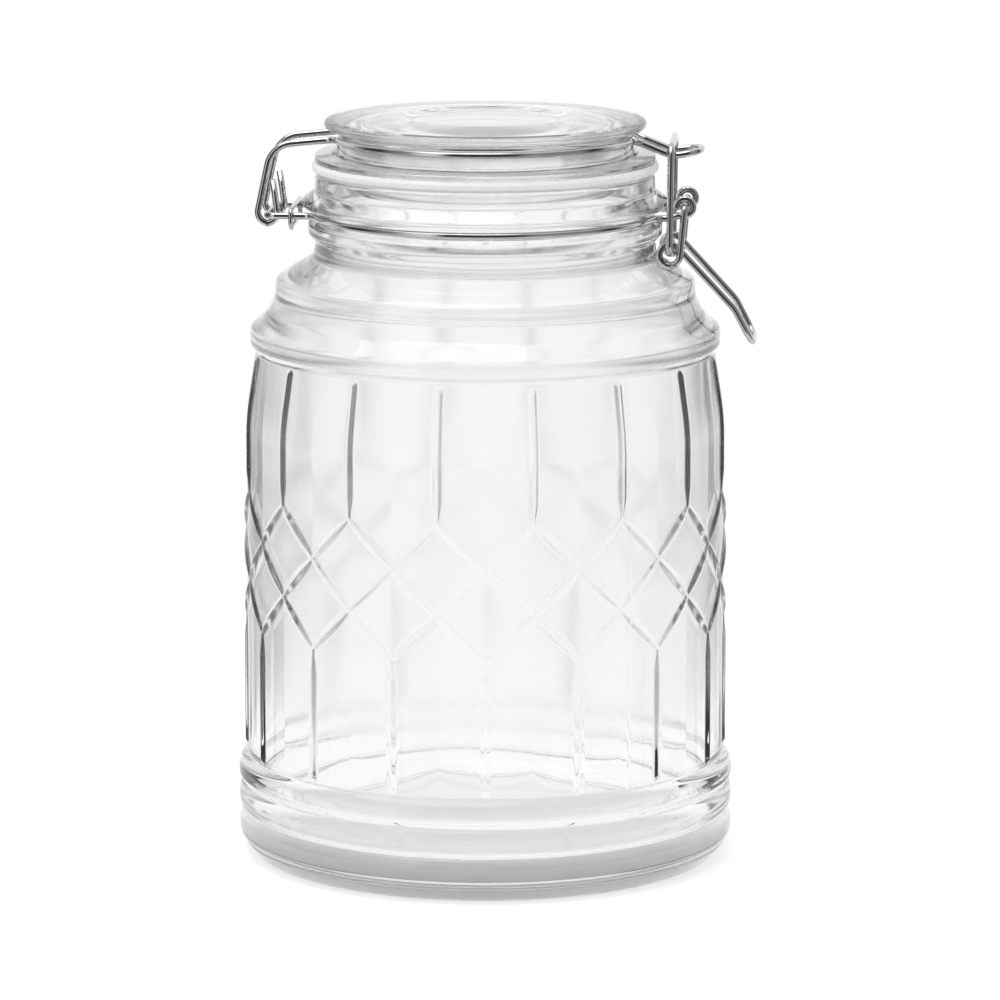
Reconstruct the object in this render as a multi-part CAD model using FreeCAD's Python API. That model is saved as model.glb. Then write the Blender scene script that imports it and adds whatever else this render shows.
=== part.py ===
import FreeCAD, Part
import math
import os
from FreeCAD import Vector

# A clip-top glass canister: a moulded jar with a raised lattice, a glass lid on a
# silicone gasket, and a spring-wire closure with a hinge, a link and a lever.
# Millimetres. Z is up, the base stands on Z 0, the hinge is at -X and the latch at +X.

# Clearances
seat_gap = 0.1          # between the gasket and the rim, and under wires lying in a groove
side_gap = 0.3          # between neighbouring wires that move past each other
keeper_gap = 0.25       # between the keeper and the strands that it holds
hook_gap = 1.7          # play of the link's top bar over the tongue, taken up by the spring wire

# Jar, outwards from its axis
body_r = 71.1           # plain panel of the body
wall = 4.1
foot_in = 2.5           # the ring that the jar stands on is this far inside the panel
foot_width = 6.0
hoop_out = 1.1          # the grooves between the hoops of the base stand out from the panel
hoop_bulge = 1.6        # and the hoops stand out from the grooves
lean_in = 2.9           # the body leans in by this much under the shoulder
step_2_out = 1.5        # lower step of the shoulder, beyond the waist
step_1_in = 7.4         # upper step of the shoulder, inside the lower one
neck_in = 12.1          # neck, inside the upper step
lip = 4.2               # thickness of the neck at the mouth

# Jar, upwards from its base
push_up = 2.5           # rise of the underside inside the foot
floor_z = 8.0           # thickness of the glass under the contents
hoop_count = 3
hoop_first_z = 5.0      # lower edge of the lowest hoop
hoop_pitch = 8.6
body_top_z = 133.5      # the body leans in above this height
lean_h = 18.5
lean_bend = 70.0
shoulder_h = 31.6
ring_rise = 9.0         # from the foot of the neck to its wire
rim_rise = 12.2         # from that wire to the rim

# Raised pattern on the body
columns = 16
pattern_turn = 4.0      # degrees from -Y to the middle of a lower rib
rib_height = 0.75
rib_half_width = 1.15
rib_root = 0.4          # depth of the widest part of a rib in the glass
rib_point = 6.0         # length of the pointed end of an upright rib
lattice_drop = 21.9     # from the top of the straight body to the upper crossings
lattice_step = 13.5     # height from one row of crossings to the next
lattice_rows = 3

# Lid and gasket
gasket_out = 1.0        # the gasket stands out from the neck
gasket_h = 3.2
gasket_width = 7.0
lid_flange_out = 0.2
lid_flange_h = 2.0
lid_groove_in = 6.6     # groove for the lid's wire, inside the neck's outside
lid_edge = 4.0          # the top disc stands out from the groove
lid_ring_rise = 7.0     # from the underside of the flange to the wire
lid_disc_h = 6.2        # from the wire to the top
lid_plug_gap = 3.6      # between the skirt under the lid and the mouth
lid_plug_h = 8.6
lid_recess_r = 22.0

# Wire closure, outwards from the neck and up or down from its wire
wire_d = 2.0
keeper_d = 1.45
bend = 4.0              # usual bend of the wires
hinge_out = 13.6        # end bar of the neck wire, which the lid's hooks turn on
hinge_half = 12.5       # half the distance between its two strands
keeper_out = 6.2
keeper_bend = 2.0
hook_reach = 3.5        # from the hinge bar to the leg of a hook
hook_drop = 2.5         # from the hinge bar to the bottom of a hook
stub_rise = 10.4
arm_drop = 1.9          # the arms of the lid wire come down by this much on the way to the hooks
pivot_out = 9.2         # eyes of the neck wire, which the lever turns in
pivot_rise = 3.4
eye_r = 2.5
eye_half = 10.5
tongue_half = 6.75      # tongue of the lid wire, which the link hooks over
tongue_out = 13.6
saddle_out = 5.3
saddle_drop = 4.5       # from the lid's ring down to the low part of the tongue
tongue_rise = 1.4
link_out = 4.9          # lower bar of the link, in the lever's loops
link_drop = 10.0
link_bend = 3.0         # bend beside the loops
loop_r = 3.0
loop_drop = 0.6         # the link pulls its lower bar up against the top of the loops
loop_arcs = 4
handle_out = 23.8       # bend of the handle
handle_drop = 26.6
handle_half = 9.6
tip_out = 29.3          # tip of the handle
tip_drop = 37.1
tip_half = 8.6

# Worked out
wire_r = wire_d / 2
inner_r = body_r - wall
foot_r = body_r - foot_in
hoop_valley_r = body_r + hoop_out
hoop_crest_r = hoop_valley_r + hoop_bulge
waist_r = body_r - lean_in
step_2_r = waist_r + step_2_out
step_1_r = step_2_r - step_1_in
neck_r = step_1_r - neck_in
mouth_r = neck_r - lip
hoop_top_z = hoop_first_z + hoop_count * hoop_pitch
waist_z = body_top_z + lean_h
neck_z = waist_z + shoulder_h
neck_ring_z = neck_z + ring_rise
rim_z = neck_ring_z + rim_rise
lattice_top_z = body_top_z - lattice_drop
lattice_bottom_z = lattice_top_z - lattice_rows * lattice_step
gasket_r = neck_r + gasket_out
gasket_z = rim_z + seat_gap
flange_z = gasket_z + gasket_h
lid_flange_r = neck_r + lid_flange_out
lid_groove_r = neck_r - lid_groove_in
lid_r = lid_groove_r + lid_edge
lid_plug_r = mouth_r - lid_plug_gap
lid_ring_z = flange_z + lid_ring_rise
lid_top_z = lid_ring_z + lid_disc_h
neck_ring_r = neck_r + wire_r + seat_gap
lid_ring_r = lid_groove_r + wire_r + seat_gap
hook_half = hinge_half - wire_d - side_gap
lever_half = eye_half + wire_d + side_gap
link_half = lever_half + wire_d + 2 * side_gap
hinge_x = -neck_r - hinge_out
keeper_x = -neck_r - keeper_out
pivot_x = neck_r + pivot_out
pivot_z = neck_ring_z + pivot_rise
tongue_tip_x = neck_r + tongue_out
saddle_x = neck_r + saddle_out
saddle_z = lid_ring_z - saddle_drop
link_x = neck_r + link_out
link_z = neck_ring_z - link_drop
link_top_z = saddle_z + wire_d + hook_gap


# Straight runs with a tangent arc at each corner, from (point, bend radius) pairs
def rounded_edges(corners, closed=False):
    count = len(corners)
    starts = []
    arcs = []
    ends = []
    for i, (point, radius) in enumerate(corners):
        on_end = not closed and i in (0, count - 1)
        if on_end or radius <= 0:
            starts.append(point)
            arcs.append(None)
            ends.append(point)
            continue
        back = (corners[i - 1][0] - point).normalize()
        ahead = (corners[(i + 1) % count][0] - point).normalize()
        half = back.getAngle(ahead) / 2
        run = radius / math.tan(half)
        middle = (back + ahead).normalize() * (radius / math.sin(half) - radius)
        starts.append(point + back * run)
        ends.append(point + ahead * run)
        arcs.append(Part.Arc(starts[-1], point + middle, ends[-1]).toShape())
    edges = []
    for i in range(count):
        if arcs[i]:
            edges.append(arcs[i])
        if i < count - 1 or closed:
            following = starts[(i + 1) % count]
            if ends[i].distanceToPoint(following) > 1e-5:
                edges.append(Part.makeLine(ends[i], following))
    return edges


# Outline in the radius-height plane, from (radius, height, corner radius) rows
def outline(rows):
    return rounded_edges([(Vector(r, 0, z), fillet) for r, z, fillet in rows])


def turned(edges):
    face = Part.Face(Part.Wire(edges))
    return face.revolve(Vector(0, 0, 0), Vector(0, 0, 1), 360).removeSplitter()


# Round wire along a bent path
def bent_wire(corners, diameter, closed=False):
    edges = rounded_edges(corners, closed)
    path = Part.Wire(edges)
    first = edges[0]
    start = first.valueAt(first.FirstParameter)
    along = first.tangentAt(first.FirstParameter)
    section = Part.Wire(Part.makeCircle(diameter / 2, start, along))
    return path.makePipeShell([section], True, False)


# The same path on the other side of the XZ plane, run backwards
def mirrored(corners):
    return [(Vector(p.x, -p.y, p.z), radius) for p, radius in reversed(corners)]


# Corners of a ring round the jar, from a strand at +X to a strand at -X, on the +Y side.
# Each strand leaves the ring through a reverse bend.
def ring_corners(radius, z, half_right, half_left):
    right = math.asin((half_right + bend) / (radius + bend))
    left = math.pi - math.asin((half_left + bend) / (radius + bend))
    corners = []
    run = bend * math.tan((math.pi / 2 - right) / 2)
    corners.append((ring_exit(radius, z, right, run, 1), bend))
    arcs = 2
    step = (left - right) / arcs
    for i in range(arcs):
        angle = right + step * (i + 0.5)
        reach = radius / math.cos(step / 2)
        corners.append((Vector(reach * math.cos(angle), reach * math.sin(angle), z), radius))
    run = bend * math.tan((left - math.pi / 2) / 2)
    corners.append((ring_exit(radius, z, left, run, -1), bend))
    return corners


def ring_exit(radius, z, angle, run, side):
    x = radius * math.cos(angle) + side * run * math.sin(angle)
    y = radius * math.sin(angle) - side * run * math.cos(angle)
    return Vector(x, y, z)


# Roof-shaped rib along a line, with a pointed end at each tip. It is widest, and a little
# sunk, at the places between the tips.
def ridge(tips, places, outward, half_width):
    along = (tips[1] - tips[0]).normalize()
    sideways = along.cross(outward).normalize()
    wide = half_width * (rib_height + rib_root) / rib_height
    rings = []
    for place in places:
        root = place - outward * rib_root
        rings.append([root + sideways * wide, place + outward * rib_height,
                      root - sideways * wide, root - outward * rib_root])
    faces = []
    for i in range(4):
        following = (i + 1) % 4
        faces.append([tips[0], rings[0][following], rings[0][i]])
        faces.append([tips[1], rings[-1][i], rings[-1][following]])
        for lower, upper in zip(rings, rings[1:]):
            faces.append([lower[i], lower[following], upper[following], upper[i]])
    shells = [Part.Face(Part.makePolygon(corners + corners[:1])) for corners in faces]
    return Part.Solid(Part.Shell(shells))


# Point on the jar, with the angle counted from the middle of the front
def on_jar(radius, degrees, z):
    angle = math.radians(degrees + pattern_turn - 90)
    return Vector(radius * math.cos(angle), radius * math.sin(angle), z)


def pattern():
    pitch = 360.0 / columns
    lean = lean_in / lean_h
    ribs = []
    for column in range(columns):
        # Upright ribs above and below the lattice
        upper = (column + 0.5) * pitch
        outward = on_jar(1, upper, 0)
        sunk_r = body_r - 2 * rib_root
        head_z = waist_z - rib_point
        places = [on_jar(body_r, upper, lattice_top_z + rib_point),
                  on_jar(body_r, upper, body_top_z),
                  on_jar(body_r - lean * (head_z - body_top_z), upper, head_z)]
        tips = [on_jar(sunk_r, upper, lattice_top_z - rib_root),
                on_jar(waist_r - rib_root, upper, waist_z - rib_root)]
        ribs.append(ridge(tips, places, outward, rib_half_width))
        lower = column * pitch
        places = [on_jar(body_r, lower, hoop_top_z + rib_point),
                  on_jar(body_r, lower, lattice_bottom_z - rib_point)]
        tips = [on_jar(sunk_r, lower, hoop_top_z),
                on_jar(sunk_r, lower, lattice_bottom_z + rib_root)]
        ribs.append(ridge(tips, places, on_jar(1, lower, 0), rib_half_width))
        # Two families of diagonals between the crossings
        for lean_way in (1, -1):
            for row in range(lattice_rows):
                first = upper + lean_way * row * pitch / 2
                second = first + lean_way * pitch / 2
                middle = (first + second) / 2
                z = lattice_top_z - row * lattice_step
                tips = [on_jar(body_r - rib_root, first, z),
                        on_jar(body_r - rib_root, second, z - lattice_step)]
                place = on_jar(body_r, middle, z - lattice_step / 2)
                ribs.append(ridge(tips, [place], on_jar(1, middle, 0), rib_half_width))
    return ribs


def jar():
    foot = outline([
        (0, push_up, 0),
        (foot_r - foot_width - 3, push_up, 3),
        (foot_r - foot_width, 0, 1.5),
        (foot_r, 0, 3),
        (hoop_valley_r, hoop_first_z - 0.7, 0),
        (hoop_valley_r, hoop_first_z, 0),
    ])
    hoops = []
    for i in range(hoop_count):
        low = hoop_first_z + i * hoop_pitch
        top_r = hoop_valley_r if i < hoop_count - 1 else body_r
        hoops.append(Part.Arc(Vector(hoop_valley_r, 0, low),
                              Vector(hoop_crest_r, 0, low + hoop_pitch / 2),
                              Vector(top_r, 0, low + hoop_pitch)).toShape())
    step_2_z = waist_z + 2.2
    step_1_z = step_2_z + 14
    bead_z = neck_ring_z - wire_r
    groove_r = neck_ring_r - wire_r - seat_gap
    walls = outline([
        (body_r, hoop_top_z, 0),
        (body_r, body_top_z, lean_bend),
        (waist_r, waist_z, 1.2),
        (step_2_r, step_2_z, 1.0),
        (step_2_r, step_2_z + 4.4, 2.2),
        (step_1_r + 2.2, step_1_z - 5, 5),
        (step_1_r, step_1_z, 4),
        (step_1_r - 0.2, step_1_z + 5, 3),
        (neck_r + 0.8, neck_z - 3.8, 3),
        (neck_r, neck_z + 0.9, 0),
        (neck_r + 2.2, bead_z - 4.8, 1.4),
        (neck_r + 2.2, bead_z - 1.6, 1.0),
        (groove_r, bead_z - 0.7, 0),
        (groove_r, bead_z + wire_d + 0.9, 0),
        (neck_r + 4.0, bead_z + wire_d + 1.3, 0.9),
        (neck_r + 4.0, bead_z + wire_d + 2.9, 1.0),
        (neck_r + 0.2, bead_z + wire_d + 6.0, 1.5),
        (neck_r, rim_z, 1.2),
        (mouth_r, rim_z, 1.8),
        (mouth_r, neck_z - 0.6, 8),
        (step_1_r - wall, step_1_z + 1, 9),
        (step_2_r - wall - 0.6, waist_z + 2, 14),
        (inner_r, body_top_z - 6, 45),
        (inner_r, floor_z, 9),
        (0, floor_z, 0),
    ])
    axis = [Part.makeLine(Vector(0, 0, floor_z), Vector(0, 0, push_up))]
    plain = turned(foot + hoops + walls + axis)
    return plain.multiFuse(pattern())


def lid():
    plug_z = flange_z - lid_plug_h
    flange_top = flange_z + lid_flange_h
    return turned(outline([
        (0, flange_z - 0.6, 0),
        (lid_plug_r - 6.5, flange_z - 0.6, 2.5),
        (lid_plug_r - 5.5, plug_z, 1.0),
        (lid_plug_r - 1.6, plug_z, 1.6),
        (lid_plug_r, flange_z, 0),
        (lid_flange_r, flange_z, 0.6),
        (lid_flange_r, flange_top, 0.7),
        (lid_groove_r + 1.4, flange_top + 0.7, 1.0),
        (lid_groove_r, lid_ring_z - wire_r - seat_gap, 0),
        (lid_groove_r, lid_ring_z + wire_r, 0),
        (lid_groove_r + 0.9, lid_ring_z + 2.0, 1.0),
        (lid_r, lid_ring_z + 3.2, 1.0),
        (lid_r, lid_top_z - 1.2, 1.3),
        (lid_r - 2.0, lid_top_z - 0.6, 1.0),
        (lid_recess_r + 1.5, lid_top_z, 0),
        (lid_recess_r, lid_top_z - 1.0, 0),
        (0, lid_top_z - 1.0, 0),
        (0, flange_z - 0.6, 0),
    ]))


def gasket():
    inner = gasket_r - gasket_width
    return turned(outline([
        (inner, gasket_z + 1, 0),
        (inner, gasket_z, 0.5),
        (gasket_r - 1.2, gasket_z, 0.5),
        (gasket_r, gasket_z + 0.9, 0.6),
        (gasket_r, flange_z - 1.0, 0.6),
        (gasket_r - 0.7, flange_z, 0.3),
        (inner, flange_z, 0.5),
        (inner, gasket_z + 1, 0),
    ]))


# Wire round the neck: a hairpin at the hinge and an open eye at each side of the latch
def neck_wire():
    half = [(Vector(hinge_x, hinge_half, neck_ring_z), 3.0)]
    half += list(reversed(ring_corners(neck_ring_r, neck_ring_z, eye_half, hinge_half)))
    eye_bottom = pivot_z - eye_r
    half += [
        (Vector(pivot_x - 4.6, eye_half, neck_ring_z), 3.0),
        (Vector(pivot_x - 2.0, eye_half, eye_bottom), 3.0),
        (Vector(pivot_x + eye_r, eye_half, eye_bottom), eye_r),
        (Vector(pivot_x + eye_r, eye_half, pivot_z + eye_r), eye_r),
        (Vector(pivot_x - eye_r, eye_half, pivot_z + eye_r), eye_r),
        (Vector(pivot_x - eye_r, eye_half, pivot_z - 0.4), 0),
    ]
    return bent_wire(mirrored(half) + half, wire_d)


# Oval ring that holds the two strands of the hairpin together
def keeper():
    half = hinge_half + wire_r + keeper_d / 2 + keeper_gap
    top = neck_ring_z + wire_r + keeper_d / 2 + keeper_gap
    bottom = top - wire_d - keeper_d - 1.9
    corners = [
        (Vector(keeper_x, -half, top), keeper_bend),
        (Vector(keeper_x, half, top), keeper_bend),
        (Vector(keeper_x, half, bottom), keeper_bend),
        (Vector(keeper_x, -half, bottom), keeper_bend),
    ]
    return bent_wire(corners, keeper_d, closed=True)


# Wire round the lid: a tongue at the latch and two hooks round the hinge bar
def lid_wire():
    half = [
        (Vector(tongue_tip_x, tongue_half, saddle_z + tongue_rise), 5.0),
        (Vector(saddle_x, tongue_half, saddle_z), 9.0),
    ]
    half += ring_corners(lid_ring_r, lid_ring_z, tongue_half, hook_half)
    leg_x = hinge_x - hook_reach
    inside_x = hinge_x + hook_reach
    bottom = neck_ring_z - hook_drop
    half += [
        (Vector(hinge_x + 1.4, hook_half, lid_ring_z - arm_drop), 8.0),
        (Vector(leg_x, hook_half, bottom), hook_reach - 0.2),
        (Vector(inside_x, hook_half, bottom), hook_reach - 0.2),
        (Vector(inside_x - 1.8, hook_half, neck_ring_z + stub_rise), 0),
    ]
    return bent_wire(mirrored(half) + half, wire_d)


# Closed loop between the lever and the tongue
def link():
    corners = [
        (Vector(saddle_x, -link_half, link_top_z), bend),
        (Vector(saddle_x, link_half, link_top_z), bend),
        (Vector(link_x, link_half, link_z), link_bend),
        (Vector(link_x, -link_half, link_z), link_bend),
    ]
    return bent_wire(corners, wire_d, closed=True)


# Lever: a pin and a leg at each side, a coil round the link's lower bar, and the handle
def lever():
    loop_z = link_z - loop_drop
    to_pivot = Vector(pivot_x - link_x, 0, pivot_z - loop_z)
    pivot_angle = math.atan2(to_pivot.z, to_pivot.x)
    coil_start = pivot_angle - math.acos(loop_r / to_pivot.Length)
    handle_x = neck_r + handle_out
    handle_z = neck_ring_z - handle_drop
    to_bend = Vector(handle_x - link_x, 0, handle_z - loop_z)
    bend_angle = math.atan2(to_bend.z, to_bend.x)
    coil_end = bend_angle + math.acos(loop_r / to_bend.Length) - 2 * math.pi
    half = [
        (Vector(pivot_x, eye_half - wire_d, pivot_z), 0),
        (Vector(pivot_x, lever_half, pivot_z), 1.5),
    ]
    step = (coil_end - coil_start) / loop_arcs
    reach = loop_r / math.cos(step / 2)
    for i in range(loop_arcs):
        angle = coil_start + (i + 0.5) * step
        y = lever_half + (eye_half - lever_half) * i / (loop_arcs - 1)
        half.append((Vector(link_x + reach * math.cos(angle), y,
                            loop_z + reach * math.sin(angle)), loop_r * 0.99))
    half += [
        (Vector(handle_x, handle_half, handle_z), 12.0),
        (Vector(neck_r + tip_out, tip_half, neck_ring_z - tip_drop), 5.0),
    ]
    return bent_wire(half + mirrored(half), wire_d)


os.makedirs("parts", exist_ok=True)
pieces = {
    "glass_jar": jar,
    "glass_lid": lid,
    "gasket": gasket,
    "neck_wire": neck_wire,
    "keeper_ring": keeper,
    "lid_wire": lid_wire,
    "latch_link": link,
    "lever": lever,
}
for name, make in pieces.items():
    shape = make()
    print(name, "valid", shape.isValid(), "solids", len(shape.Solids), "volume", round(shape.Volume, 1))
    shape.exportStep("parts/" + name + ".step")
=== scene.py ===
import math

import bpy
import numpy as np
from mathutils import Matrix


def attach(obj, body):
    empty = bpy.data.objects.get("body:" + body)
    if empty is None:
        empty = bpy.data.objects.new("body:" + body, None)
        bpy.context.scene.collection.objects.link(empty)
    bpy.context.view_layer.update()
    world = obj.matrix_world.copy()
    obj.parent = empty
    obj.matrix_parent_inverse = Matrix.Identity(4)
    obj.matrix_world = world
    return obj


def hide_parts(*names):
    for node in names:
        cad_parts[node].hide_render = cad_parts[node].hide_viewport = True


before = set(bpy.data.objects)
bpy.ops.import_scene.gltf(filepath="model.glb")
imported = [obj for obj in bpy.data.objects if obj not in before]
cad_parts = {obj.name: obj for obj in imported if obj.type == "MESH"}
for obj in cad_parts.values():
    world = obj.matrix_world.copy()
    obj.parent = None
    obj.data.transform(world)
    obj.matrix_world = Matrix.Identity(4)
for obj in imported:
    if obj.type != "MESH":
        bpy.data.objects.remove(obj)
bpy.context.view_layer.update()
scene = bpy.context.scene
scene.view_settings.view_transform = "Standard"
MM = 0.001

# Sizes of the glass and the gasket, in millimetres, as in the source
body_r = 71.1
foot_r = 68.6
foot_width = 6.0
push_up = 2.5
rib_crest_r = 73.8
rib_valley_r = 72.2
rib_count = 3
rib_first_z = 5.0
rib_pitch = 8.6
body_top_z = 133.5
waist_r = 68.2
waist_z = 152.0
step_2_r = 69.7
step_2_rise = 2.2
step_1_r = 62.3
step_1_rise = 14.0
neck_r = 50.2
neck_z = 183.6
bead_out = 2.2
lip_out = 4.0
rim_z = 204.8
rim_depth = 6.0
mouth_r = 46.0
wall = 4.1
floor_z = 8.0
columns = 16
pattern_turn = 4.0
lattice_top_z = 111.6
lattice_step = 13.5
lattice_rows = 3
lower_rib_end_z = 33.2
upper_rib_end_z = 149.9
lid_r = 47.6
lid_top_z = 221.3
lid_groove_r = 43.6
lid_flange_r = 50.4
lid_flange_h = 2.0
lid_plug_r = 42.4
lid_plug_h = 8.6
lid_recess_r = 22.0
gasket_r = 51.2
gasket_h = 3.2
gasket_width = 7.0
wire_r = 1.0
neck_ring_z = 192.6
lid_ring_z = 215.1
seat_gap = 0.1
gasket_bite = 0.05
inner_r = body_r - wall
gasket_z = rim_z + seat_gap
flange_z = gasket_z + gasket_h

# Relief of the moulded pattern, in millimetres and degrees
rib_height = 0.92
rib_half_width = 1.6
rib_cap = 2.0
rib_taper = 7.0
rib_end_share = 0.4
diagonal_end_share = 0.3
taper_power = 0.8
ridge_round = 0.2
panel_dip = 0.22
panel_start = 8.0
panel_shift = 4.0
panel_fade_z = (128.0, 146.0)
hoop_fullness = 3.0
seam_turn = 36.0
seam_height = 0.12
seam_width = 0.35

# Roughness added to the glass, and the radius in the middle of the jar's wall, by height
inside_dullness = 0.19
underside_dullness = 0.9
floor_dullness = 0.08
neck_dullness = 0.1
lid_dullness = 0.1
dull_wall_z = (38.0, 56.0)
dull_floor_z = (floor_z + 6, floor_z + 20)
dull_neck_z = (neck_z - 4, neck_z + 4)
dull_lid_z = flange_z + lid_flange_h + 0.8
stipple_z = push_up + 0.1
mid_wall_z = [0, body_top_z, waist_z, 169, neck_z]
mid_wall_r = [69, 69, 66.6, 60.5, 48.2]

# Steps round the jar, round its ribbed panel, round the lid and the gasket, and along a hoop
jar_steps = 384
panel_steps = 1536
lid_steps = 256
hoop_steps = 28

# Degrees of a fillet to about one step, and the least length that counts
arc_step = 8
tiny = 1e-6

# Place of the inside among the bands of the jar's outline
inside_band = 3


# Points of an outline with a tangent arc at each corner, from (radius, height, fillet) rows
def rounded(rows, longest=2.0):
    points = [np.array(row[:2], float) for row in rows]
    found = []
    for i, (_, _, fillet) in enumerate(rows):
        here = points[i]
        if i in (0, len(rows) - 1) or fillet <= 0:
            found.append(here)
            continue
        back = points[i - 1] - here
        ahead = points[i + 1] - here
        back = back / np.linalg.norm(back)
        ahead = ahead / np.linalg.norm(ahead)
        half = math.acos(float(np.clip(back @ ahead, -1, 1))) / 2
        middle = back + ahead
        centre = here + middle / np.linalg.norm(middle) * fillet / math.sin(half)
        start = here + back * fillet / math.tan(half)
        end = here + ahead * fillet / math.tan(half)
        turn = math.pi - 2 * half
        count = max(4, int(math.degrees(turn) / arc_step))
        for j in range(count + 1):
            share = j / count
            spot = start - centre
            other = end - centre
            weight_a = math.sin((1 - share) * turn) / math.sin(turn)
            weight_b = math.sin(share * turn) / math.sin(turn)
            found.append(centre + spot * weight_a + other * weight_b)
    return divided(found, longest)


# The same line with its long runs divided
def divided(points, longest):
    found = [points[0]]
    for point in points[1:]:
        start = found[-1]
        gap = float(np.linalg.norm(point - start))
        if gap < tiny:
            continue
        count = max(1, math.ceil(gap / longest))
        for j in range(1, count + 1):
            found.append(start + (point - start) * j / count)
    return found


# Mesh turned about Z from bands of an outline, each with its own number of steps round
def turned(name, bands, closed=False, change=None):
    rows = []
    places = []
    count = 0
    for band, (points, steps) in enumerate(bands):
        for point in points:
            radius = np.full(steps, point[0])
            turns = np.arange(steps) * 2 * math.pi / steps
            if point[0] < tiny:
                places.append(np.array([[0, 0, point[1]]]))
                rows.append(np.full(steps, count))
                count += 1
                continue
            if change is not None:
                radius = radius + change(np.degrees(turns), point[1], band)
            height = np.full(steps, point[1])
            places.append(np.stack([radius * np.cos(turns), radius * np.sin(turns), height], axis=1))
            rows.append(count + np.arange(steps))
            count += steps
    if closed:
        rows.append(rows[0])
    faces = []
    for low, high in zip(rows, rows[1:]):
        faces += joined(low, high)
    mesh = bpy.data.meshes.new(name)
    mesh.from_pydata((np.concatenate(places) * MM).tolist(), [], faces)
    mesh.shade_smooth()
    piece = bpy.data.objects.new(name, mesh)
    scene.collection.objects.link(piece)
    return piece


# Faces between two rows of points, one of which may have more points than the other
def joined(low, high):
    steps = min(len(low), len(high))
    if low[0] == low[-1]:
        return np.stack([low, np.roll(high, -1), high], axis=1).tolist()
    if high[0] == high[-1]:
        return np.stack([low, np.roll(low, -1), high], axis=1).tolist()
    if len(low) == len(high):
        return np.stack([low, np.roll(low, -1), np.roll(high, -1), high], axis=1).tolist()
    faces = []
    for i in range(steps):
        faces.append(part_round(low, i, steps) + part_round(high, i, steps)[::-1])
    return faces


def part_round(row, i, steps):
    share = len(row) // steps
    return [int(row[j % len(row)]) for j in range(i * share, (i + 1) * share + 1)]


def smooth(low, high, value):
    share = np.clip((value - low) / (high - low), 0, 1)
    return share * share * (3 - 2 * share)


def part_way(start, end, share):
    return start + (end - start) * share


# Height of a roof-shaped rib with a slightly rounded ridge, at a distance from its line
def roof(distance, half_width):
    run = np.sqrt(distance ** 2 + ridge_round ** 2) - ridge_round
    full = np.sqrt(half_width ** 2 + ridge_round ** 2) - ridge_round
    height = rib_height * (half_width / rib_half_width) ** taper_power
    return height * np.clip(1 - run / full, 0, None)


# Relief on the outside of the jar: upright ribs, lattice, hollow panels and mould seams
def relief(degrees, z, band):
    turn = degrees + 90 - pattern_turn
    if band == inside_band:
        return unevenness(turn, z)
    height = np.zeros_like(turn)
    pitch = 360 / columns
    arc = math.pi / 180 * body_r
    to_upper = (np.mod(turn, pitch) - pitch / 2) * arc
    to_lower = (np.mod(turn + pitch / 2, pitch) - pitch / 2) * arc
    lattice_bottom_z = lattice_top_z - lattice_rows * lattice_step
    if lattice_top_z < z < waist_z:
        beyond = max(0.0, z - upper_rib_end_z)
        share = smooth(lattice_top_z, lattice_top_z + rib_taper, z)
        width = rib_half_width * part_way(rib_end_share, 1, share)
        height = roof(np.hypot(to_upper, beyond), width)
    if lower_rib_end_z - rib_cap < z < lattice_bottom_z:
        beyond = max(0.0, lower_rib_end_z - z)
        share = smooth(lattice_bottom_z - rib_taper, lattice_bottom_z, z)
        width = rib_half_width * part_way(1, rib_end_share, share)
        height = roof(np.hypot(to_lower, beyond), width)
    if lattice_bottom_z < z < lattice_top_z:
        half_arc = pitch / 2 * arc
        row_place = (lattice_top_z - z) / lattice_step
        across = lattice_step / math.hypot(half_arc, lattice_step)
        fullness = math.sin(math.pi * (row_place % 1.0)) ** taper_power
        width = rib_half_width * part_way(diagonal_end_share, 1, fullness)
        for lean_way in (1, -1):
            offset = to_upper - row_place * half_arc * lean_way
            offset = np.mod(offset + half_arc, 2 * half_arc) - half_arc
            height = np.maximum(height, roof(offset * across, width))
    on_panel = smooth(lower_rib_end_z, lower_rib_end_z + panel_start, z)
    on_panel = on_panel * (1 - smooth(*panel_fade_z, z))
    low_share = 1 - smooth(lattice_bottom_z - panel_shift, lattice_top_z + panel_shift, z)
    to_rib = low_share * to_lower ** 2 + (1 - low_share) * to_upper ** 2
    to_rib = to_rib * (2 / (pitch * arc)) ** 2
    height = height - panel_dip * on_panel * np.clip(to_rib, 0, 1)
    if 1 < z < rim_z - rim_depth:
        for seam in (seam_turn, seam_turn + 180):
            near = np.mod(turn - seam + 180, 360) - 180
            height = height + seam_height * np.exp(-(near * arc / seam_width) ** 2)
    return height


# Uneven inside, as pressed glass has, from three slow waves
def unevenness(turn, z):
    around = np.radians(turn)
    wide = np.sin(around * 3 + z * 0.045) * 0.16
    narrow = np.sin(around * 7 - z * 0.09 + 1.3) * 0.08
    level = np.sin(z * 0.16 + np.sin(around * 2) * 1.5) * 0.07
    fade = smooth(floor_z + 2, floor_z + 14, z) * (1 - smooth(neck_z - 6, neck_z + 4, z))
    return (wide + narrow + level) * fade


# Places of a mesh's points, in millimetres
def places_of(mesh):
    places = np.empty(len(mesh.vertices) * 3)
    mesh.vertices.foreach_get("co", places)
    return places.reshape(-1, 3).T / MM


def set_dullness(mesh, values):
    dullness = mesh.attributes.new("dullness", "FLOAT", "POINT")
    dullness.data.foreach_set("value", values)


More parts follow.
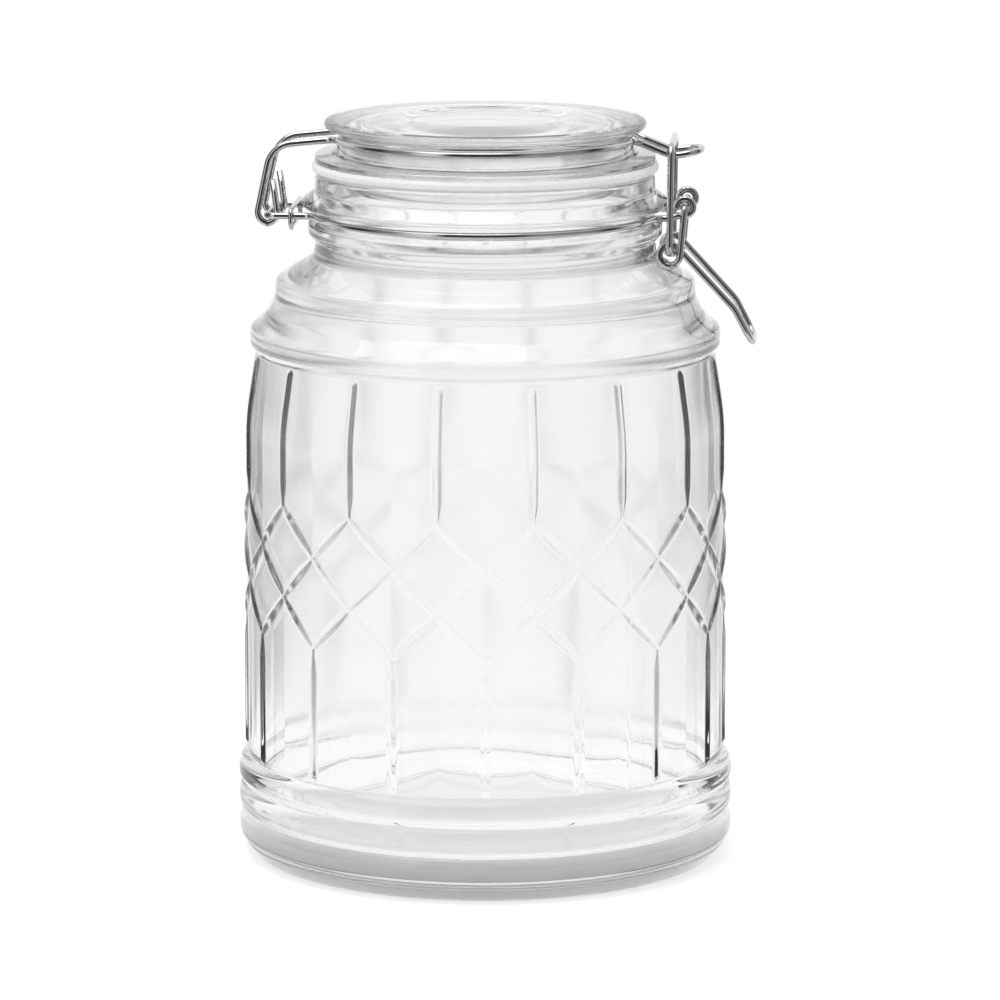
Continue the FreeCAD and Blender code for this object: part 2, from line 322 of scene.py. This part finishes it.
# The jar is duller on the inside of its wall, neck and floor, and its underside is stippled
def dull_inside(piece):
    x, y, z = places_of(piece.data)
    radius = np.hypot(x, y)
    inside = radius < np.interp(z, mid_wall_z, mid_wall_r)
    on_wall = inside_dullness * smooth(*dull_wall_z, z)
    in_neck = smooth(*dull_neck_z, z)
    on_floor = floor_dullness * (1 - smooth(*dull_floor_z, z))
    value = (on_wall * (1 - in_neck) + neck_dullness * in_neck + on_floor) * inside
    stippled = (z < stipple_z) & (radius < foot_r)
    set_dullness(piece.data, np.where(stippled, underside_dullness, value))


# The lid is duller below, up to just over its flange
def dull_under(piece):
    z = places_of(piece.data)[2]
    set_dullness(piece.data, lid_dullness * (z < dull_lid_z))


# Outline of the jar, from the middle of its underside round the rim to the floor inside
def jar_outline():
    foot = rounded([
        (0, push_up, 0),
        (foot_r - foot_width - 3, push_up, 3),
        (foot_r - foot_width, 0, 1.5),
        (foot_r, 0, 3),
        (rib_valley_r, rib_first_z - 0.7, 0.6),
        (rib_valley_r, rib_first_z, 0),
    ])
    hoops = []
    for i in range(rib_count):
        low = rib_first_z + i * rib_pitch
        top_r = rib_valley_r if i < rib_count - 1 else body_r
        hoops += hoop(low, top_r)
    hoop_top_z = rib_first_z + rib_count * rib_pitch
    panel_top_z = waist_z - 0.6
    step_2_z = waist_z + step_2_rise
    step_1_z = step_2_z + step_1_rise
    bead_z = neck_ring_z - wire_r
    lip_z = bead_z + 2 * wire_r
    land_z = rim_z - rim_depth
    panel = rounded([
        (body_r, hoop_top_z, 0),
        (body_r, body_top_z, 70),
        (waist_r, panel_top_z, 0),
    ], longest=0.45)
    shoulder = rounded([
        (waist_r, panel_top_z, 0),
        (waist_r, waist_z, 1.0),
        (step_2_r, step_2_z, 1.0),
        (step_2_r, step_2_z + 4.4, 2.2),
        (step_1_r + 2.2, step_1_z - 5, 5),
        (step_1_r, step_1_z, 4),
        (step_1_r - 0.2, step_1_z + 5, 3),
        (neck_r + 0.8, neck_z - 3.8, 3),
        (neck_r, neck_z + 0.9, 0.6),
        (neck_r + bead_out, bead_z - 4.8, 1.4),
        (neck_r + bead_out, bead_z - 1.6, 1.0),
        (neck_r, bead_z - 0.7, 0.3),
        (neck_r, lip_z + 0.9, 0.3),
        (neck_r + lip_out, lip_z + 1.3, 0.9),
        (neck_r + lip_out, lip_z + 2.9, 1.0),
        (neck_r + 0.2, lip_z + 6.0, 1.5),
        (neck_r, rim_z, 1.2),
        (mouth_r, rim_z, 1.8),
        (mouth_r, land_z, 0),
    ])
    inside = rounded([
        (mouth_r, land_z, 0),
        (mouth_r, neck_z - 0.6, 8),
        (step_1_r - wall, step_1_z + 1, 9),
        (step_2_r - wall - 0.6, waist_z + 2, 14),
        (inner_r, body_top_z - 6, 45),
        (inner_r, floor_z, 9),
        (0, floor_z, 0),
    ], longest=3.0)
    return [
        (foot[:-1] + hoops[:-1], jar_steps),
        (panel, panel_steps),
        (shoulder[1:], jar_steps),
        (inside[1:], jar_steps),
    ]


# One rounded hoop of the base, fuller than an arc
def hoop(low, top_r):
    found = []
    bulge = rib_crest_r - rib_valley_r + (rib_valley_r - top_r) / 2
    for j in range(hoop_steps + 1):
        share = j / hoop_steps
        chord_r = part_way(rib_valley_r, top_r, share)
        lift = bulge * (1 - abs(2 * share - 1) ** hoop_fullness)
        found.append(np.array([chord_r + lift, low + rib_pitch * share]))
    return found if top_r != rib_valley_r else found[:-1]


def lid_outline():
    plug_z = flange_z - lid_plug_h
    under_z = flange_z - 0.6
    flange_top = flange_z + lid_flange_h
    recess_z = lid_top_z - 1.0
    return rounded([
        (0, under_z, 0),
        (lid_plug_r - 6.5, under_z, 2.5),
        (lid_plug_r - 5.5, plug_z, 1.0),
        (lid_plug_r - 1.6, plug_z, 1.6),
        (lid_plug_r, flange_z, 0.5),
        (lid_flange_r, flange_z, 0.6),
        (lid_flange_r, flange_top, 0.7),
        (lid_groove_r + 1.4, flange_top + 0.7, 1.0),
        (lid_groove_r, lid_ring_z - wire_r - seat_gap, 0.4),
        (lid_groove_r, lid_ring_z + wire_r, 0.3),
        (lid_groove_r + 0.9, lid_ring_z + 2.0, 1.0),
        (lid_r, lid_ring_z + 3.2, 1.0),
        (lid_r, lid_top_z - 1.2, 1.2),
        (lid_r - 2.0, lid_top_z - 0.6, 1.0),
        (lid_recess_r + 2.5, lid_top_z, 4.0),
        (lid_recess_r - 1.0, recess_z, 4.0),
        (0, recess_z, 0),
    ])


def gasket_outline():
    inner = gasket_r - gasket_width
    start_z = gasket_z + 1
    top_z = flange_z + gasket_bite
    return rounded([
        (inner, start_z, 0),
        (inner, gasket_z, 0.5),
        (gasket_r - 1.2, gasket_z, 0.5),
        (gasket_r, gasket_z + 0.9, 0.6),
        (gasket_r, flange_z - 1.0, 0.6),
        (gasket_r - 0.7, top_z, 0.3),
        (inner, top_z, 0.5),
        (inner, start_z, 0),
    ])[:-1]


# Material with an empty principled shader
def material(name):
    made = bpy.data.materials.new(name)
    made.use_nodes = True
    nodes = made.node_tree.nodes
    nodes.clear()
    output = nodes.new("ShaderNodeOutputMaterial")
    shader = nodes.new("ShaderNodeBsdfPrincipled")
    made.node_tree.links.new(shader.outputs[0], output.inputs["Surface"])
    return made, made.node_tree, shader, output


def noise(tree, scale, detail=3.0):
    place = tree.nodes.new("ShaderNodeTexCoord")
    texture = tree.nodes.new("ShaderNodeTexNoise")
    texture.inputs["Scale"].default_value = scale
    texture.inputs["Detail"].default_value = detail
    tree.links.new(place.outputs["Object"], texture.inputs["Vector"])
    return texture.outputs["Fac"]


def ramp(tree, value, stops):
    node = tree.nodes.new("ShaderNodeValToRGB")
    tree.links.new(value, node.inputs["Fac"])
    while len(node.color_ramp.elements) < len(stops):
        node.color_ramp.elements.new(0.5)
    for element, (place, colour) in zip(node.color_ramp.elements, stops):
        element.position = place
        element.color = (*colour, 1)
    return node.outputs["Color"]


def grey(value):
    return (value, value, value)


def map_range(tree, value, low, high, start, end):
    node = tree.nodes.new("ShaderNodeMapRange")
    node.interpolation_type = "SMOOTHSTEP"
    node.inputs["From Min"].default_value = low
    node.inputs["From Max"].default_value = high
    node.inputs["To Min"].default_value = start
    node.inputs["To Max"].default_value = end
    tree.links.new(value, node.inputs["Value"])
    return node.outputs[0]


def maths(tree, operation, first, second=None):
    node = tree.nodes.new("ShaderNodeMath")
    node.operation = operation
    for socket, value in zip(node.inputs, (first, second)):
        if isinstance(value, (int, float)):
            socket.default_value = value
        elif value is not None:
            tree.links.new(value, socket)
    return node.outputs[0]


def mix_shaders(tree, share, first, second):
    node = tree.nodes.new("ShaderNodeMixShader")
    for socket, value in zip(node.inputs, (share, first, second)):
        tree.links.new(value, socket)
    return node.outputs[0]


# Fine unevenness of a surface
def roughen(tree, shader, height, distance):
    bump = tree.nodes.new("ShaderNodeBump")
    bump.inputs["Strength"].default_value = 0.02
    bump.inputs["Distance"].default_value = distance
    tree.links.new(height, bump.inputs["Height"])
    tree.links.new(bump.outputs["Normal"], shader.inputs["Normal"])


# Clear glass, duller where the mesh has the attribute dullness
def glass(name):
    made, tree, shader, output = material(name)
    shader.inputs["Transmission Weight"].default_value = 1.0
    shader.inputs["IOR"].default_value = 1.47
    tint = ramp(tree, noise(tree, 25), [(0.3, grey(0.985)), (0.7, grey(1.0))])
    tree.links.new(tint, shader.inputs["Base Color"])
    rough = ramp(tree, noise(tree, 90), [(0.35, grey(0.0)), (0.8, grey(0.02))])
    dull = tree.nodes.new("ShaderNodeAttribute")
    dull.attribute_name = "dullness"
    rough = maths(tree, "ADD", rough, dull.outputs["Fac"])
    tree.links.new(rough, shader.inputs["Roughness"])
    roughen(tree, shader, noise(tree, 55, detail=2.0), distance=0.001)
    volume = tree.nodes.new("ShaderNodeVolumeAbsorption")
    volume.inputs["Color"].default_value = (0.93, 0.932, 0.932, 1)
    volume.inputs["Density"].default_value = 10.0
    tree.links.new(volume.outputs[0], output.inputs["Volume"])
    return made


def silicone():
    made, tree, shader, _ = material("silicone")
    tint = ramp(tree, noise(tree, 60), [(0.3, grey(0.95)), (0.7, grey(0.99))])
    tree.links.new(tint, shader.inputs["Base Color"])
    rough = ramp(tree, noise(tree, 240), [(0.3, grey(0.26)), (0.7, grey(0.36))])
    tree.links.new(rough, shader.inputs["Roughness"])
    shader.inputs["IOR"].default_value = 1.41
    shader.inputs["Transmission Weight"].default_value = 0.25
    return made


def steel():
    made, tree, shader, _ = material("steel_wire")
    shader.inputs["Metallic"].default_value = 1.0
    tint = ramp(tree, noise(tree, 120), [(0.3, (0.50, 0.50, 0.505)), (0.7, (0.60, 0.60, 0.605))])
    tree.links.new(tint, shader.inputs["Base Color"])
    rough = ramp(tree, noise(tree, 300, detail=4.0), [(0.3, grey(0.05)), (0.75, grey(0.13))])
    tree.links.new(rough, shader.inputs["Roughness"])
    roughen(tree, shader, noise(tree, 900), distance=0.0001)
    return made


clear_glass = glass("clear_glass")
soft_silicone = silicone()
bright_steel = steel()

jar = turned("jar_glass", jar_outline(), change=relief)
dull_inside(jar)
lid = turned("lid_glass", [(lid_outline(), lid_steps)])
dull_under(lid)
seal = turned("seal_ring", [(gasket_outline(), lid_steps)], closed=True)
for piece, node, body, look, slot in (
    (jar, "glass_jar", "jar", clear_glass, "clear_glass"),
    (lid, "glass_lid", "lid", clear_glass, "clear_glass"),
    (seal, "gasket", "lid", soft_silicone, "silicone"),
):
    piece.data.materials.append(look)
    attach(piece, body)
    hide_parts(node)

for node in ("neck_wire", "keeper_ring", "lid_wire", "latch_link", "lever"):
    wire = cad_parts[node]
    wire.data.materials.clear()
    wire.data.materials.append(bright_steel)
    weld = wire.modifiers.new("weld", "WELD")
    weld.merge_threshold = 0.000001
    wire.data.shade_smooth()


# Rays that have been reflected by metal or passed through glass
def indirect_rays(tree):
    path = tree.nodes.new("ShaderNodeLightPath")
    return maths(tree, "MAXIMUM", path.outputs["Is Glossy Ray"], path.outputs["Is Transmission Ray"])


# Pale floor that keeps the shadow and fades into the white surroundings. Through the glass
# it is evenly light, but for a painted shadow: a dimmer strip under the near half of the jar.
def stage_floor():
    count = 128
    radius = 0.7
    below = 0.0002
    fade_r = (0.16, 0.5)
    # Painted shadow seen only through the glass: its edges along Y, its end round the jar, its
    # strength
    painted_shadow_near_y = (-0.045, -0.065)
    painted_shadow_far_y = (-0.015, 0.02)
    painted_shadow_end_r = (0.068, 0.085)
    painted_shadow_strength = 0.8
    turns = [2 * math.pi * i / count for i in range(count)]
    rim = [(radius * math.cos(t), radius * math.sin(t), 0) for t in turns]
    mesh = bpy.data.meshes.new("floor")
    mesh.from_pydata(rim, [], [list(range(count))])
    floor = bpy.data.objects.new("floor", mesh)
    floor.location.z = -below
    scene.collection.objects.link(floor)
    made = bpy.data.materials.new("pale_floor")
    made.use_nodes = True
    tree = made.node_tree
    tree.nodes.clear()
    output = tree.nodes.new("ShaderNodeOutputMaterial")
    place = tree.nodes.new("ShaderNodeTexCoord")
    far = tree.nodes.new("ShaderNodeVectorMath")
    far.operation = "LENGTH"
    tree.links.new(place.outputs["Object"], far.inputs[0])
    parts = tree.nodes.new("ShaderNodeSeparateXYZ")
    tree.links.new(place.outputs["Object"], parts.inputs[0])
    lit = tree.nodes.new("ShaderNodeBsdfDiffuse")
    lit.inputs["Color"].default_value = (*grey(0.9), 1)
    shadowed = tree.nodes.new("ShaderNodeBsdfDiffuse")
    shadowed.inputs["Color"].default_value = (*grey(0.62), 1)
    glow = tree.nodes.new("ShaderNodeEmission")
    glow.inputs["Strength"].default_value = 0.5
    both = tree.nodes.new("ShaderNodeAddShader")
    tree.links.new(shadowed.outputs[0], both.inputs[0])
    tree.links.new(glow.outputs[0], both.inputs[1])
    through = tree.nodes.new("ShaderNodeEmission")
    # Painted shadow: the floor seen through the glass is dimmed in a strip under the near half of
    # the jar
    near = map_range(tree, parts.outputs["Y"], *painted_shadow_near_y, painted_shadow_strength, 1.0)
    behind = map_range(tree, parts.outputs["Y"], *painted_shadow_far_y, painted_shadow_strength, 1.0)
    beside = map_range(tree, far.outputs["Value"], *painted_shadow_end_r, 0.0, 1.0)
    painted_shadow_strip = maths(tree, "MAXIMUM", near, behind)
    tree.links.new(maths(tree, "MAXIMUM", painted_shadow_strip, beside), through.inputs["Strength"])
    path = tree.nodes.new("ShaderNodeLightPath")
    seen = mix_shaders(tree, path.outputs["Is Camera Ray"], lit.outputs[0], both.outputs[0])
    pick = mix_shaders(tree, indirect_rays(tree), seen, through.outputs[0])
    fade = map_range(tree, far.outputs["Value"], *fade_r, 0.0, 1.0)
    clear = tree.nodes.new("ShaderNodeBsdfTransparent")
    whole = mix_shaders(tree, fade, pick, clear.outputs[0])
    tree.links.new(whole, output.inputs["Surface"])
    mesh.materials.append(made)


# Greys of the surroundings, and the heights between which their bands show, from 0 straight
# down to 1 straight up
white = grey(1.0)
pale = grey(0.95)
dim = grey(0.35)
dark = grey(0.06)
black = grey(0.05)
through_heights = (0.37, 0.39, 0.49, 0.51)
mirrored_heights = (0.20, 0.27, 0.76, 0.88)


# White surroundings that look different through glass and in a mirror
def surroundings():
    world = bpy.data.worlds.new("studio")
    scene.world = world
    world.use_nodes = True
    tree = world.node_tree
    tree.nodes.clear()
    output = tree.nodes.new("ShaderNodeOutputWorld")
    place = tree.nodes.new("ShaderNodeTexCoord")
    parts = tree.nodes.new("ShaderNodeSeparateXYZ")
    tree.links.new(place.outputs["Generated"], parts.inputs[0])
    around = maths(tree, "ARCTAN2", parts.outputs["X"], parts.outputs["Y"])
    rise = maths(tree, "ARCSINE", parts.outputs["Z"])
    up = maths(tree, "ADD", maths(tree, "DIVIDE", rise, math.pi), 0.5)
    through = seen_through(tree, around, up)
    mirrored = seen_in_mirror(tree, around, up)
    path = tree.nodes.new("ShaderNodeLightPath")
    picked = background(tree, through)
    for colour, name in (
        (mirrored, "Is Glossy Ray"),
        (through, "Is Transmission Ray"),
        (None, "Is Camera Ray"),
    ):
        picked = mix_shaders(tree, path.outputs[name], picked, background(tree, colour))
    tree.links.new(picked, output.inputs["Surface"])


# Dark bands on both sides of the front, the back and the two sides
def seen_through(tree, around, up):
    eighth = math.pi / 4
    folded = maths(tree, "DIVIDE", maths(tree, "PINGPONG", around, eighth), eighth)
    bands = ramp(tree, folded, [
        (0.000, white),
        (0.504, white),
        (0.524, black),
        (0.860, black),
        (0.896, white),
    ])
    beyond = ramp(tree, up, [(0.0, pale), (0.8, pale), (0.9, white)])
    return blended(tree, up, through_heights, bands, beyond)


# White behind, and dark in front but for a white soft box on the left and a dim one on the right
def seen_in_mirror(tree, around, up):
    whole = maths(tree, "ADD", maths(tree, "DIVIDE", around, 2 * math.pi), 0.5)
    bands = ramp(tree, whole, [
        (0.000, black),
        (0.066, black),
        (0.090, white),
        (0.130, white),
        (0.165, dim),
        (0.190, grey(0.30)),
        (0.225, dark),
        (0.270, dark),
        (0.335, white),
        (0.665, white),
        (0.725, dark),
        (0.745, dark),
        (0.780, dim),
        (0.895, dim),
        (0.930, black),
    ])
    beyond = ramp(tree, up, [(0.0, grey(0.6)), (0.8, grey(0.9)), (0.9, white)])
    return blended(tree, up, mirrored_heights, bands, beyond)


# Background of one colour, white where none is given
def background(tree, colour):
    shader = tree.nodes.new("ShaderNodeBackground")
    shader.inputs["Color"].default_value = (1, 1, 1, 1)
    if colour is not None:
        tree.links.new(colour, shader.inputs["Color"])
    return shader.outputs[0]


# One colour between the heights, with soft ends, and another below and above them
def blended(tree, up, heights, bands, beyond):
    share = ramp(tree, up, list(zip(heights, (grey(0), grey(1), grey(1), grey(0)))))
    mixed = tree.nodes.new("ShaderNodeMix")
    mixed.data_type = "RGBA"
    tree.links.new(share, mixed.inputs["Factor"])
    tree.links.new(beyond, mixed.inputs["A"])
    tree.links.new(bands, mixed.inputs["B"])
    return mixed.outputs["Result"]


def soft_box(name, place, aim, size, power):
    light = bpy.data.lights.new(name, "AREA")
    light.shape = "DISK"
    light.size = size
    light.energy = power
    lamp = bpy.data.objects.new(name, light)
    lamp.location = place
    direction = np.array(aim) - np.array(place)
    turn = math.atan2(direction[1], direction[0])
    tilt = math.atan2(math.hypot(direction[0], direction[1]), -direction[2])
    lamp.rotation_euler = (tilt, 0, turn - math.pi / 2)
    scene.collection.objects.link(lamp)


# Camera at the photograph's angle, in degrees and metres
camera_turn = 4.0
camera_pitch = 10.54
camera_away = 1.833
camera_height = 0.447
lens = bpy.data.cameras.new("camera")
lens.sensor_width = 36.0
lens.lens = 225.0
lens.shift_x = 0.0147
lens.clip_start = 0.05
lens.clip_end = 50.0
camera = bpy.data.objects.new("camera", lens)
turn = math.radians(camera_turn)
camera.location = (math.sin(turn) * camera_away, -math.cos(turn) * camera_away, camera_height)
camera.rotation_euler = (math.radians(90 - camera_pitch), 0, turn)
scene.collection.objects.link(camera)
scene.camera = camera

surroundings()
stage_floor()
soft_box("top_light", place=(-0.3, -0.2, 1.3), aim=(0, 0, 0.1), size=1.2, power=6.0)
